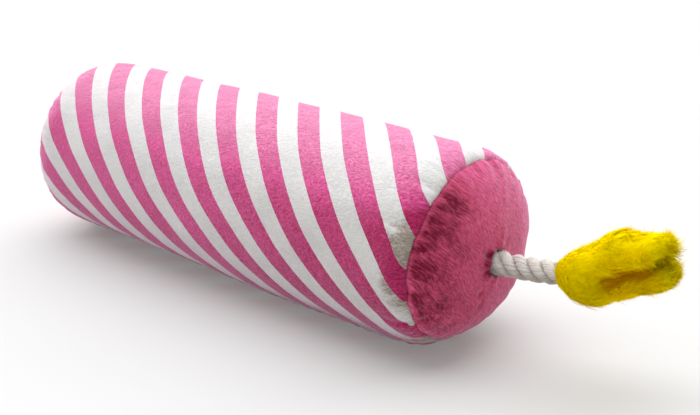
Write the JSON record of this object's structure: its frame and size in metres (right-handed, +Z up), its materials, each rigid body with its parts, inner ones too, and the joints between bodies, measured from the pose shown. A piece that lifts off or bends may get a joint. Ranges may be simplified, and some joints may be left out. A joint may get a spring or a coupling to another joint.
{
  "type": "plush dog toy",
  "caption": "Stuffed plush bolster toy shaped like a candle, with spiral stripes, a short twisted rope wick and a faux-fur flame.",
  "frame": {"origin": "under the middle of the whole object's box, on the surface that the toy lies on", "axes": "+X along the body from the plain end to the flame, +Z up, and +Y to the left seen from the plain end"},
  "size_m": [0.334, 0.0838, 0.0805],
  "materials": {
    "striped_plush": "matte",
    "pink_plush": "matte",
    "pink_thread": "matte",
    "white_thread": "matte",
    "fibre_filling": "matte",
    "squeaker_bulb": "satin",
    "squeaker_holder": "satin",
    "reed": "satin",
    "cotton_rope": "matte",
    "yellow_fur": "matte",
    "yellow_thread": "matte"
  },
  "bodies": {
    "body": {"striped_sleeve": "striped_plush", "front_end_panel": "pink_plush", "rear_end_panel": "pink_plush", "front_seam_thread": "pink_thread", "rear_seam_thread": "pink_thread", "sleeve_seam_thread_front": "white_thread", "closing_thread": "white_thread", "sleeve_seam_thread_rear": "white_thread", "wick_tack_thread": "pink_thread", "body_filling": "fibre_filling", "squeaker_reed_holder": "squeaker_holder"},
    "wick": {"wick_strand_1": "cotton_rope", "wick_strand_2": "cotton_rope", "wick_strand_3": "cotton_rope", "wick_whipping": "white_thread"},
    "flame": {"flame_upper_panel": "yellow_fur", "flame_lower_panel": "yellow_fur", "flame_filling": "fibre_filling", "flame_seam_thread": "yellow_thread", "flame_neck_thread": "yellow_thread"},
    "squeaker": {"squeaker_bulb": "squeaker_bulb"},
    "reed": {"squeaker_reed": "reed"}
  },
  "joints": [
    {"name": "wick_nod", "type": "hinge", "parent": "body", "child": "wick", "pos_m": [0.09309, 0, 0.0386], "axis": [0, -1, 0], "range_deg": [-30, 35], "stiffness_Nm_per_rad": 0.08},
    {"name": "flame_swing", "type": "hinge", "parent": "wick", "child": "flame", "pos_m": [0.12292, 0.00125, 0.04152], "axis": [-0.3806, -0.04, 0.9239], "range_deg": [-25, 25], "stiffness_Nm_per_rad": 0.03},
    {"name": "squeaker_squeeze", "type": "slide", "parent": "body", "child": "squeaker", "axis": [0, 0, -1], "range_m": [0, 0.012], "stiffness_N_per_m": 300, "deforming": ["squeaker_bulb"]},
    {"name": "reed_flex", "type": "hinge", "parent": "body", "child": "reed", "pos_m": [-0.03864, 0, 0.02141], "axis": [0, -1, 0], "range_deg": [-3, 6], "stiffness_Nm_per_rad": 0.00003}
  ]
}
